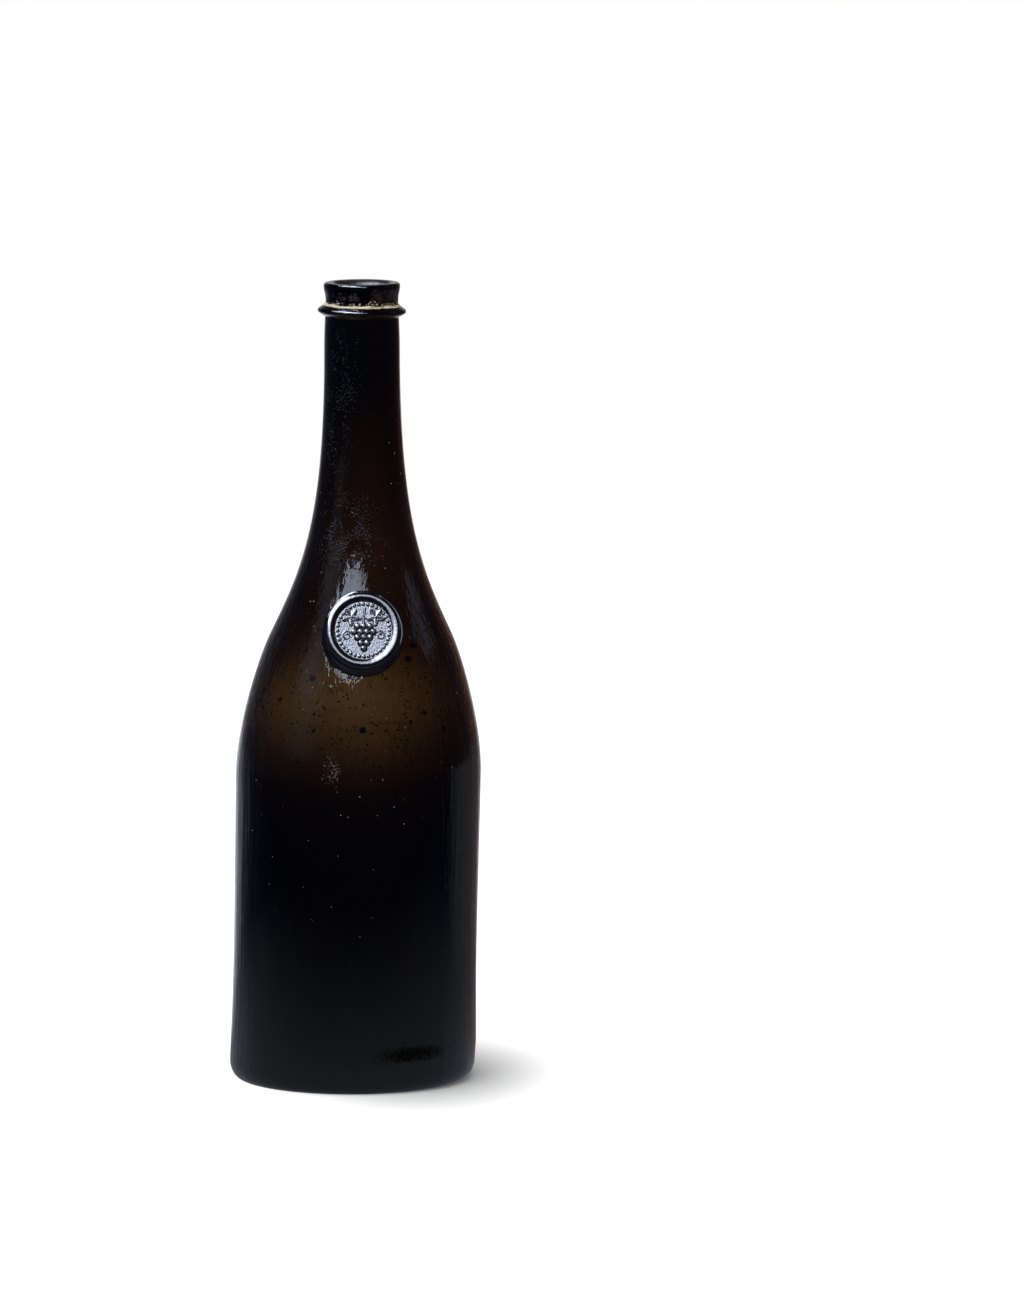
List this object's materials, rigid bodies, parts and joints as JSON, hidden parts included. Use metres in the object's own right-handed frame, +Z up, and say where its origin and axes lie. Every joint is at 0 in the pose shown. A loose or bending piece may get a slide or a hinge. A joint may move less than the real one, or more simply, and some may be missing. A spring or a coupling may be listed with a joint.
{
  "type": "glass bottle",
  "caption": "Free-blown dark glass wine bottle with a long neck, flared lip, applied string rim, stamped shoulder seal and pushed-up base.",
  "frame": {"origin": "centre of the ring that the bottle stands on", "axes": "+Z up along the bottle, towards its mouth; the seal faces -Y; the body leans a little towards +X"},
  "size_m": [0.0949, 0.093, 0.3],
  "materials": {
    "black_glass": "fire-polished nearly black olive-brown glass that glows brown where it is thin",
    "rim_glass": "fire-polished nearly black glass",
    "cream_compound": "matt, dry and crumbly old sealing compound",
    "seal_glass": "stamped black glass, glossy ridge and finely grained field",
    "scar_glass": "broken black glass, sharp and slightly dulled"
  },
  "bodies": {
    "root": {"bottle": "black_glass", "string_rim": "rim_glass", "sealing_compound": "cream_compound", "seal_pad": "seal_glass", "pontil_scar": "scar_glass"}
  },
  "joints": []
}
